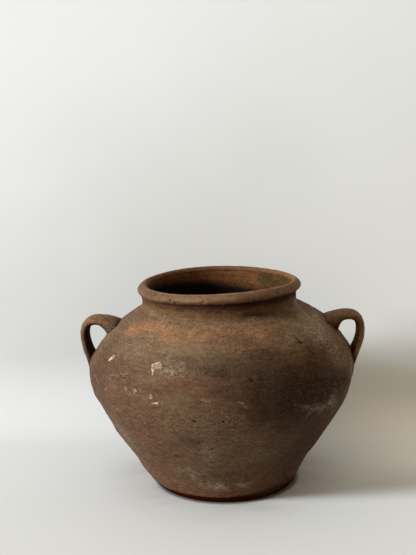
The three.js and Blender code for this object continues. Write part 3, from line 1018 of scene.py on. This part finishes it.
def clay_material(name, body, warm, dull, streaks, roughness, gloss=0.14,
                  dark_marks=(), pale_marks=(), faint_marks=()):
    """A fired clay finish: its stains come from the mesh, its pores and marks are drawn by place.

    The clay's tone multiplies the stained colour, and pores, dark marks and pale marks lie on top. Places
    that are inside, in painted shade or under soot are rougher.
    """
    material, wiring, shader = new_material(name)
    place = wiring.add("ShaderNodeTexCoord", {}, "Object")
    rough_place = shaken(wiring, place)
    colour = wiring.group(FIRED_CLAY, {
        "Position": place, "Body": body, "Warm": warm, "Dull": dull, "Olive": OLIVE, "Streaks": streaks,
    })
    clay = colour.node.outputs
    colour, soot = weathered(wiring, place, colour)
    tone = wiring.add("ShaderNodeCombineColor", {channel: clay["Tone"] for channel in range(3)})
    colour = wiring.mix(1.0, colour, tone, "MULTIPLY")

    pores = wiring.group(FINE_SPATTER, {"Position": rough_place, "Scale": PORE_SCALE, "Share": PORE_SHARE})
    dark = wiring.times(pores, PORE_COVER)
    if dark_marks:
        dark = wiring.largest(dark, strokes(wiring, rough_place, dark_marks))
    colour = wiring.mix(dark, colour, CHAR)
    height = wiring.math("SUBTRACT", clay["Height"], wiring.times(dark, PORE_SINK))
    if pale_marks:
        colour, height = limed(wiring, rough_place, colour, height, pale_marks, faint_marks)

    sheen = roughness - SHEEN_SWING, roughness + SHEEN_SWING
    rough = wiring.ease(wiring.noise(place, SHEEN_SCALE, 4), 0.3, 0.7, *sheen)
    bare, painted_shade = wiring.attribute("inside"), wiring.attribute("crevice_shade")
    raw = wiring.largest(bare, painted_shade, wiring.times(soot, SOOT_RAWNESS))
    rough = wiring.total(rough, wiring.times(raw, RAW_ROUGHNESS))
    inputs = {"Strength": BUMP_STRENGTH, "Distance": BUMP_DEPTH, "Height": height}
    bump = wiring.add("ShaderNodeBump", inputs)
    wiring.into(shader, {"Base Color": colour, "Roughness": rough, "Normal": bump})
    shader.inputs["Specular IOR Level"].default_value = gloss
    return material


WALL_CLAY = clay_material(
    "wall clay", srgb(93, 67, 45), srgb(102, 70, 47), srgb(87, 69, 50), streaks=0.6, roughness=0.76,
    dark_marks=DARK_MARKS, pale_marks=LIME_MARKS, faint_marks=FAINT_MARKS,
)
NECK_CLAY = clay_material(
    "neck clay", srgb(94, 66, 38), srgb(103, 69, 40), srgb(87, 68, 42), streaks=0.9, roughness=0.74,
)
LIP_CLAY = clay_material(
    "lip clay", srgb(103, 73, 48), srgb(114, 77, 49), srgb(94, 73, 49), streaks=0.8, roughness=0.68,
    gloss=0.16, dark_marks=LIP_MARKS,
)
# The foot is reddish bare clay painted near black, as painted shade on its downward-facing edge
FOOT_CLAY_IN_SHADE = clay_material(
    "foot clay in painted shade", srgb(32, 10, 6), srgb(40, 14, 8), srgb(28, 11, 7), streaks=0.3, roughness=0.95, gloss=0.0,
)
STRAP_CLAY = clay_material(
    "strap clay", srgb(99, 70, 45), srgb(111, 76, 47), srgb(90, 70, 47), streaks=0.8, roughness=0.66,
)
COIL_CLAY = clay_material(
    "inner clay", srgb(76, 52, 34), srgb(86, 58, 36), srgb(68, 52, 36), streaks=0.4, roughness=0.86,
)


# Pieces of the body

THETA = np.linspace(0, TURN, COLUMNS, endpoint=False)

# Wear, painted highlight and painted shade on the body: lengths along the skin in millimetres, azimuths in
# degrees, and for each finish round the body its mean amount and its swing
FRONT_AZIMUTH = -90
SHADED_AZIMUTH = -60
WIDEST_SHADE_AZIMUTH = -38
INSIDE_START = 2
INSIDE_FULL = 7
RUBBED_AND_HIGHLIGHT_REACH = 2.2
RUBBED_AND_HIGHLIGHT_ROUND = (0.65, 0.35)
LIP_SHADE_START = 3
LIP_SHADE_ABOVE = 3
LIP_SHADE_BELOW = 8.5
LIP_SHADE_ROUND = (0.55, 0.4)
FOOT_SHADE_BELOW = 4
FOOT_SHADE_START = 0.2
FOOT_SHADE_REACH = 2.2
FOOT_SHADE_ROUND = (0.72, 0.28)
WIDEST_SHADE_REACH = 12
WIDEST_SHADE_NARROWNESS = 6


def uneven_round(azimuth, mean, swing):
    """An amount round the body: its mean, and a swing by the cosine of the angle from an azimuth."""
    return mean + swing * np.cos(THETA - math.radians(azimuth))


def body_shade(run):
    """Painted shade under the lip and along the foot's edge, heaviest at the shaded azimuth.

    Under the lip it is a bell, longer below than above. At the foot it fades out up the wall, over a
    reach that grows round the azimuth where that shade is widest.
    """
    from_lip = run - LIP_START - LIP_SHADE_START
    under_lip = bell(from_lip, np.where(from_lip > 0, LIP_SHADE_ABOVE, LIP_SHADE_BELOW))[:, None]
    lip_shade = under_lip * uneven_round(SHADED_AZIMUTH, *LIP_SHADE_ROUND)
    widening = np.clip(uneven_round(WIDEST_SHADE_AZIMUTH, 0, 1), 0, 1) ** WIDEST_SHADE_NARROWNESS
    above_foot = (run[:, None] - EDGE_END - FOOT_SHADE_START) / (FOOT_SHADE_REACH + WIDEST_SHADE_REACH * widening)
    on_foot = smoothstep(EDGE_START - FOOT_SHADE_BELOW, EDGE_START, run)[:, None]
    foot_edge = on_foot * (1 - smoothstep(0, 1, above_foot))
    return lip_shade + foot_edge * uneven_round(SHADED_AZIMUTH, *FOOT_SHADE_ROUND)


def body_piece(name, node, material, run, loop=True):
    """A section of the skin turned round the axis; past the lip's crest it counts as inside.

    The crest is painted pale, as wear and painted highlight, and more so towards the front.
    """
    hidden = smoothstep(LIP_CREST + INSIDE_START, LIP_CREST + INSIDE_FULL, run)[:, None]
    crest = bell(run - LIP_CREST, RUBBED_AND_HIGHLIGHT_REACH)[:, None]
    rubbed_and_highlit = crest * uneven_round(FRONT_AZIMUTH, *RUBBED_AND_HIGHLIGHT_ROUND)
    add_piece(name, node, material, turned(run, THETA), loop, hidden, rubbed_and_highlit, body_shade(run))


body_piece("belly_lower_half", "lower_wall", WALL_CLAY,
           rows(("lower_out", OUTER_ROW), ("lower_in", INNER_ROW)))
body_piece("belly_upper_half", "upper_wall", WALL_CLAY,
           rows(("upper_out", OUTER_ROW), ("upper_in", INNER_ROW)))
body_piece("neck_ring", "neck_collar", NECK_CLAY,
           rows(("neck_out", LIP_ROW), ("neck_in", NECK_INNER_ROW)))
body_piece("everted_rim", "rim_lip", LIP_CLAY,
           rows(("lip_out", LIP_ROW), ("lip_in", LIP_ROW)))
body_piece("foot_slab", "floor_disc", FOOT_CLAY_IN_SHADE,
           rows(("underside", FLOOR_ROW), ("edge", LIP_ROW), ("floor", FLOOR_ROW))[1:-1], loop=False)


def coil_piece(name, node, section, dabs):
    """A coil pressed on from inside: a closed section turned round, with finger dabs along it."""
    middle = section.mean(axis=0)
    away = section - middle
    press = 1 + DAB_DEPTH * np.sin(dabs * THETA + DAB_DRIFT * np.sin(3 * THETA))
    radius = middle[0] + away[:, :1] * press
    level = middle[1] + away[:, 1:] * (0.5 + 0.5 * press)
    points = np.stack([radius * np.cos(THETA), radius * np.sin(THETA), level + 0 * radius], axis=-1)
    points = points + lumpy(points, COIL_LUMPS, COIL_SEED)[..., None]
    add_piece(name, node, COIL_CLAY, leaned(points), inside=1.0)


def seam_coil_section():
    """A flat lens: the wall's own curve on one side, a half-cosine swell towards the axis on the other."""
    share = np.linspace(-1, 1, SEAM_COIL_STEPS)
    level = BELLY_SEAM + SEAM_COIL_HALF * share
    swell = SEAM_COIL_DEPTH * np.cos(share * math.pi / 2)
    face = np.stack([inner_radius(level) - swell, level], axis=1)
    back = np.stack([inner_radius(level) + SEAM_COIL_SINK, level], axis=1)
    return np.concatenate([back, face[::-1]])


def corner_coil_section():
    """A corner fillet: a hollow curve from the floor up to the wall, with its back sunk into the clay."""
    corner = np.array((inner_radius(FLOOR_LEVEL + 0.5), FLOOR_LEVEL))
    on_floor = corner - (CORNER_COIL_WIDTH, 0)
    top = FLOOR_LEVEL + CORNER_COIL_HEIGHT
    on_wall = np.array((inner_radius(top) + CORNER_COIL_SINK, top))
    floor_pull = corner + (-5, 1.5)
    wall_pull = corner + (-2, 4)
    face = bezier(on_floor, floor_pull, wall_pull, on_wall, steps=CORNER_COIL_STEPS)
    behind = [corner + (-6, -0.6), corner + (0.5, -0.6)]
    return np.concatenate([behind, face[::-1]])


coil_piece("seam_coil", "belly_seam_coil", seam_coil_section(), SEAM_COIL_DABS)
coil_piece("floor_coil", "floor_corner_coil", corner_coil_section(), CORNER_COIL_DABS)


# Handles

def strap_path():
    """The strap's middle line (outward, height): up and out of the shoulder, then down to the belly."""
    root_level = NECK_FOOT - ROOT_DROP
    tail_level = BELLY_SEAM - TAIL_DROP
    crest = np.array((HANDLE_REACH - STRAP_THICKNESS / 2, root_level - CREST_DROP))
    root = np.array((outer_radius(root_level) - ROOT_SINK, root_level))
    tail = np.array((outer_radius(tail_level) - TAIL_SINK, tail_level))
    rising = bezier(root, root + (SPRING_OUT, SPRING_UP), crest + (0, BEND_ABOVE), crest)
    falling = bezier(crest, crest - (0, BEND_BELOW), tail + (TAIL_OUT, TAIL_UP), tail)
    return resampled(np.concatenate([rising, falling[1:]]), STRAP_STEP)


def eased_size(from_root, from_tail, root, strap, tail):
    """A size that eases from the upper root's to the strap's own, and on to the lower root's."""
    upper = 1 - smoothstep(0, ROOT_FLARE, from_root)
    lower = 1 - smoothstep(0, TAIL_FLARE, from_tail)
    return strap + (root - strap) * upper + (tail - strap) * lower


def superellipse(angle):
    """Both coordinates of a rounded square of half width 1: sine and cosine raised to a shared power."""
    power = 2 / STRAP_SQUARENESS
    sine, cosine = np.sin(angle), np.cos(angle)
    return np.sign(sine) * np.abs(sine) ** power, np.sign(cosine) * np.abs(cosine) ** power


def strap_points(seed, shift, root_fillet):
    """Rounded-rectangle rings along the middle line, flared at both roots, with faint grooves outside.

    The rings are superellipses, filled out on the inner side where the strap leaves the shoulder. The free
    stretch is shifted (outward, height). Points that would go deeper than the roots' seat in the wall are
    moved out to that depth. Returns the points, and how far each side faces out of the handle, -1 to 1.
    """
    path = strap_path()
    run = lengths_along(path)
    along = np.gradient(path, axis=0)
    along /= np.linalg.norm(along, axis=1)[:, None]
    ends = run, run[-1] - run
    width = eased_size(*ends, ROOT_WIDTH, STRAP_WIDTH, TAIL_WIDTH)[:, None]
    thickness = eased_size(*ends, ROOT_THICKNESS, STRAP_THICKNESS, TAIL_THICKNESS)[:, None]
    fillet = root_fillet * (1 - smoothstep(ROOT_SINK, ROOT_SINK + FILLET_LENGTH, run))[:, None]
    sideways, bow = superellipse(-np.linspace(0, TURN, STRAP_SIDES, endpoint=False)[None, :])
    across = sideways * width / 2
    lift = bow * np.where(bow < 0, thickness / 2 + fillet, thickness / 2)
    groove = GROOVE_DEPTH * (bow > 0) * np.cos(math.pi * GROOVES * across / width) ** 2
    grooved = smoothstep(0, GROOVE_FADE, ends[0]) * smoothstep(0, GROOVE_FADE, ends[1])
    lift = lift - groove * grooved[:, None]
    x = path[:, :1] - along[:, 1:] * lift
    z = path[:, 1:] + along[:, :1] * lift
    points = np.stack([x, across, z], axis=-1)
    bulge = 1 + lumpy(points, STRAP_LUMPS, seed)
    middle = np.stack([path[:, 0], 0 * path[:, 0], path[:, 1]], axis=-1)[:, None, :]
    points = middle + (points - middle) * bulge[..., None]
    free = smoothstep(0, HELD_ENDS, ends[0]) * smoothstep(0, HELD_ENDS, ends[1])
    points = points + free[:, None, None] * np.array((shift[0], 0, shift[1]))
    radius = np.hypot(points[..., 0], points[..., 1])
    seat = np.maximum(radius, outer_radius(points[..., 2]) - DEEPEST_ROOT)
    points[..., :2] *= (seat / radius)[..., None]
    return points, bow


# Soot, painted shade, and wear with painted highlight on the straps: reach from the wall in millimetres,
# how a side faces where soot and shade start and where they are full, and amounts
STRAP_SOOT_AND_SHADE_REACH = 12
INNER_SIDE = (0.15, -0.6)
ROOT_SHADE_REACH = 6
ROOT_SHADE = 0.8
STRAP_WEAR_AND_HIGHLIGHT = 0.6


def strap_soot_and_shade(points, bow, inner_soot_and_shade):
    """Soot and painted shade on the strap's inner side, and painted shade where it is close to the wall:
    bells over the gap.
    """
    stand = np.hypot(points[..., 0], points[..., 1]) - outer_radius(points[..., 2])
    soot_and_shade = np.maximum(inner_soot_and_shade, bell(stand, STRAP_SOOT_AND_SHADE_REACH)) * smoothstep(*INNER_SIDE, bow)
    return np.maximum(soot_and_shade, ROOT_SHADE * bell(stand, ROOT_SHADE_REACH))


def add_handle(name, node, side, seed, shift, root_fillet, inner_soot_and_shade):
    """A strap on one side: side 1 is the +X handle, -1 the same turned half round the axis."""
    points, bow = strap_points(seed, shift, root_fillet)
    dirt_and_shade = strap_soot_and_shade(points, bow, inner_soot_and_shade)
    stance = leaned(points * np.array((side, side, 1)))
    rubbed_and_highlit = STRAP_WEAR_AND_HIGHLIGHT * np.clip(bow, 0, 1)
    add_piece(name, node, STRAP_CLAY, stance, loop=False, worn_and_highlight=rubbed_and_highlit, crevice_shade=dirt_and_shade)


# The left strap's inner side, turned away from the window, carries more painted shade than the right one's
add_handle("right_strap", "right_handle", 1, seed=71, shift=(1.5, 0.0), root_fillet=10, inner_soot_and_shade=0.5)
add_handle("left_strap", "left_handle", -1, seed=81, shift=(-0.2, -0.5), root_fillet=7, inner_soot_and_shade=0.95)


# Studio, in metres

CAMERA_DISTANCE = 1.1995
CAMERA_HEIGHT = 0.4777
CAMERA_PITCH = math.radians(10.62)
CAMERA_YAW = math.radians(-0.73)
CAMERA_ROLL = math.radians(-1.275)
CAMERA_AROUND = math.radians(3.4)
CAMERA_LENS = 65.0

BACKDROP_BEHIND = 0.22
SWEEP_RADIUS = 0.1
SWEEP_STEPS = 24
PAPER_FRONT = 0.36
PAPER_HALF_WIDTH = 0.7
PAPER_HEIGHT = 0.9
# Painted light and shade on the paper: it is paler to the right and towards the top, and its floor darker
# than its wall
PAPER_LEFT = srgb(197, 198, 196)
PAPER_RIGHT = srgb(219, 220, 218)
PAPER_TOP = srgb(235, 238, 237)
PAPER_FLOOR = srgb(201, 202, 200)
# Painted light in the far right corner of the floor, within the urn's shadow
PAPER_CORNER_LIGHT = srgb(233, 231, 225)
# Scuffs, with painted shade darkest next to the urn
PAPER_SCUFFS_AND_SHADE = srgb(146, 133, 112)
# Painted contact shadow round the urn's foot
PAPER_CONTACT_SHADOW = srgb(58, 42, 30)

# Where the paper's tones change over: from one place to another, in metres
LEFT_TO_RIGHT = (-0.25, 0.3)
WALL_PALING = (0.05, 0.7)
WALL_PALING_WAY = (-0.35, 0.0, 1.0)
FLOOR_TO_WALL = (0.0, 0.13)
CORNER_ACROSS = (0.08, 0.3)
CORNER_BEHIND = (-0.06, 0.04)
CORNER_LEVEL = (0.0, 0.05)
SCUFFS_AND_SHADE_REACH = (0.08, 0.17)
CONTACT_SHADOW_MIDDLE = (0.003, -0.0065, 0.0)
CONTACT_SHADOW_EDGE = (0.085, 0.092)

# Clouds in the paper's painted light, and scuffs with painted shade: repeats a metre, and how strong they
# are
CLOUD_SCALE = 4.0
CLOUD_SWING = 0.25
SCUFF_SCALE = (9, 20, 20)
SCUFFS_AND_SHADE_COVER = 0.55
CONTACT_SHADOW_COVER = 0.85
PAPER_ROUGHNESS = 0.95

TABLE_HALF_WIDTH = 4
TABLE_LEVEL = -0.001
TABLE_BROWN = srgb(74, 62, 52)
TABLE_ROUGHNESS = 0.8

WINDOW_AZIMUTH = math.radians(204)
WINDOW_ELEVATION = math.radians(22)
WINDOW_DISTANCE = 10.0
WINDOW_SIZE = 1.9
WINDOW_POWER = 1740
WINDOW_COLOUR = (0.86, 0.92, 1.0)
WINDOW_AIM = Vector((0, 0, 0.12))
ROOM_COLOUR = (1.0, 0.86, 0.66, 1.0)
ROOM_STRENGTH = 0.62


def set_camera():
    """A camera in front of the urn, carried a little round it, and turned by its pitch, yaw and roll."""
    level = math.cos(CAMERA_PITCH)
    forward = Vector((math.sin(CAMERA_YAW) * level, math.cos(CAMERA_YAW) * level, -math.sin(CAMERA_PITCH)))
    right = Vector((math.cos(CAMERA_YAW), -math.sin(CAMERA_YAW), 0))
    up = right.cross(forward)
    across = math.cos(CAMERA_ROLL) * right + math.sin(CAMERA_ROLL) * up
    upward = math.cos(CAMERA_ROLL) * up - math.sin(CAMERA_ROLL) * right
    facing = Matrix((across, upward, -forward)).transposed().to_4x4()
    data = bpy.data.cameras.new("camera")
    data.lens = CAMERA_LENS
    camera = placed("camera", data)
    place = Matrix.Translation((0, -CAMERA_DISTANCE, CAMERA_HEIGHT))
    camera.matrix_world = Matrix.Rotation(CAMERA_AROUND, 4, "Z") @ place @ facing
    bpy.context.scene.camera = camera


def paper_material():
    """Pale matt paper that shows only its front, so that it doesn't hide the urn from behind.

    Its tone rises from left to right and towards the top, as painted light. The floor is duller, as painted
    shade, but pale in its far right corner as painted light, scuffed round the urn with painted shade, and
    dark in a ring under its foot as a painted contact shadow.
    """
    material, wiring, shader = new_material("pale paper")
    place = wiring.add("ShaderNodeTexCoord", {}, "Object")
    level = wiring.along(place, (0.0, 0.0, 1.0))
    across = wiring.along(place, (1.0, 0.0, 0.0))
    behind = wiring.along(place, (0.0, 1.0, 0.0))
    # Painted light: paler to the right and towards the top, and the floor darker than the wall
    colour = wiring.mix(wiring.ease(across, *LEFT_TO_RIGHT), PAPER_LEFT, PAPER_RIGHT)
    clouds = wiring.swing(wiring.noise(place, CLOUD_SCALE, 3), CLOUD_SWING)
    paler = wiring.total(wiring.along(place, WALL_PALING_WAY), clouds)
    colour = wiring.mix(wiring.ease(paler, *WALL_PALING), colour, PAPER_TOP)
    colour = wiring.mix(wiring.ease(level, *FLOOR_TO_WALL), PAPER_FLOOR, colour)
    # Painted light: the far right corner of the floor is paler, within the urn's shadow
    corner = wiring.times(
        wiring.ease(across, *CORNER_ACROSS),
        wiring.ease(behind, *CORNER_BEHIND),
        wiring.ease(level, *CORNER_LEVEL, 1.0, 0.0),
    )
    colour = wiring.mix(corner, colour, PAPER_CORNER_LIGHT)
    # Scuffs and painted shade, fading out away from the urn
    away = wiring.vector("LENGTH", place, (0.0, 0.0, 0.0), "Value")
    scuffs = wiring.ease(wiring.noise(wiring.stretch(place, SCUFF_SCALE), 1, 5, 0.65), 0.2, 0.8)
    dirt_and_shade = wiring.times(wiring.ease(away, *SCUFFS_AND_SHADE_REACH, SCUFFS_AND_SHADE_COVER, 0.0), scuffs)
    colour = wiring.mix(dirt_and_shade, colour, PAPER_SCUFFS_AND_SHADE)
    # Painted contact shadow: a dark ring just round the urn's foot
    from_contact_shadow = wiring.vector("DISTANCE", place, CONTACT_SHADOW_MIDDLE, "Value")
    colour = wiring.mix(wiring.ease(from_contact_shadow, *CONTACT_SHADOW_EDGE, CONTACT_SHADOW_COVER, 0.0), colour, PAPER_CONTACT_SHADOW)
    wiring.into(shader, {"Base Color": colour, "Roughness": PAPER_ROUGHNESS})
    back = wiring.add("ShaderNodeNewGeometry", {}, "Backfacing")
    clear = wiring.add("ShaderNodeBsdfTransparent", {})
    shown = wiring.add("ShaderNodeMixShader", {0: back, 1: shader.outputs["BSDF"], 2: clear})
    wiring.into(material.node_tree.nodes["Material Output"], {"Surface": shown})
    return material


def add_stage(name, points, faces, material, around=0.0):
    """A mesh that isn't part of the urn, turned by an angle round the upright axis."""
    mesh = bpy.data.meshes.new(name)
    mesh.from_pydata(points, [], faces)
    mesh.polygons.foreach_set("use_smooth", np.ones(len(faces), bool))
    mesh.update()
    mesh.materials.append(material)
    stage = placed(name, mesh)
    stage.rotation_euler = (0, 0, around)


def add_paper():
    """A sheet of paper: level floor, quarter-round sweep and upright back, carried along X."""
    bend = np.linspace(0, math.pi / 2, SWEEP_STEPS)
    start = BACKDROP_BEHIND - SWEEP_RADIUS
    sweep = np.stack([start + SWEEP_RADIUS * np.sin(bend), SWEEP_RADIUS * (1 - np.cos(bend))], axis=1)
    profile = np.concatenate([[(-PAPER_FRONT, 0.0)], sweep, [(BACKDROP_BEHIND, PAPER_HEIGHT)]])
    side = np.tile((-PAPER_HALF_WIDTH, PAPER_HALF_WIDTH), len(profile))
    points = np.column_stack([side, np.repeat(profile, 2, axis=0)])
    row = np.arange(len(profile) - 1) * 2
    faces = np.stack([row, row + 1, row + 3, row + 2], axis=-1)
    add_stage("paper", points.tolist(), faces.tolist(), paper_material(), CAMERA_AROUND)


def add_table():
    """A wide dark table top, just under the paper."""
    material, wiring, shader = new_material("dark table")
    wiring.into(shader, {"Base Color": TABLE_BROWN, "Roughness": TABLE_ROUGHNESS})
    ways = (-1, -1), (1, -1), (1, 1), (-1, 1)
    corners = [(x * TABLE_HALF_WIDTH, y * TABLE_HALF_WIDTH, TABLE_LEVEL) for x, y in ways]
    add_stage("table", corners, [(0, 1, 2, 3)], material)


def light_studio():
    """One far window from the left and a little in front, in a dim warm room."""
    data = bpy.data.lights.new("window", "AREA")
    data.shape = "SQUARE"
    data.size = WINDOW_SIZE
    data.energy = WINDOW_POWER
    data.color = WINDOW_COLOUR
    window = placed("window", data)
    level = math.cos(WINDOW_ELEVATION)
    way = Vector((
        math.cos(WINDOW_AZIMUTH) * level, math.sin(WINDOW_AZIMUTH) * level, math.sin(WINDOW_ELEVATION),
    ))
    window.location = way * WINDOW_DISTANCE + WINDOW_AIM
    window.rotation_euler = way.to_track_quat("Z", "Y").to_euler()
    world = bpy.data.worlds.new("room")
    world.use_nodes = True
    room = world.node_tree.nodes["Background"]
    room.inputs["Color"].default_value = ROOM_COLOUR
    room.inputs["Strength"].default_value = ROOM_STRENGTH
    bpy.context.scene.world = world


set_camera()
add_paper()
add_table()
light_studio()
bpy.context.scene.view_settings.view_transform = "Standard"
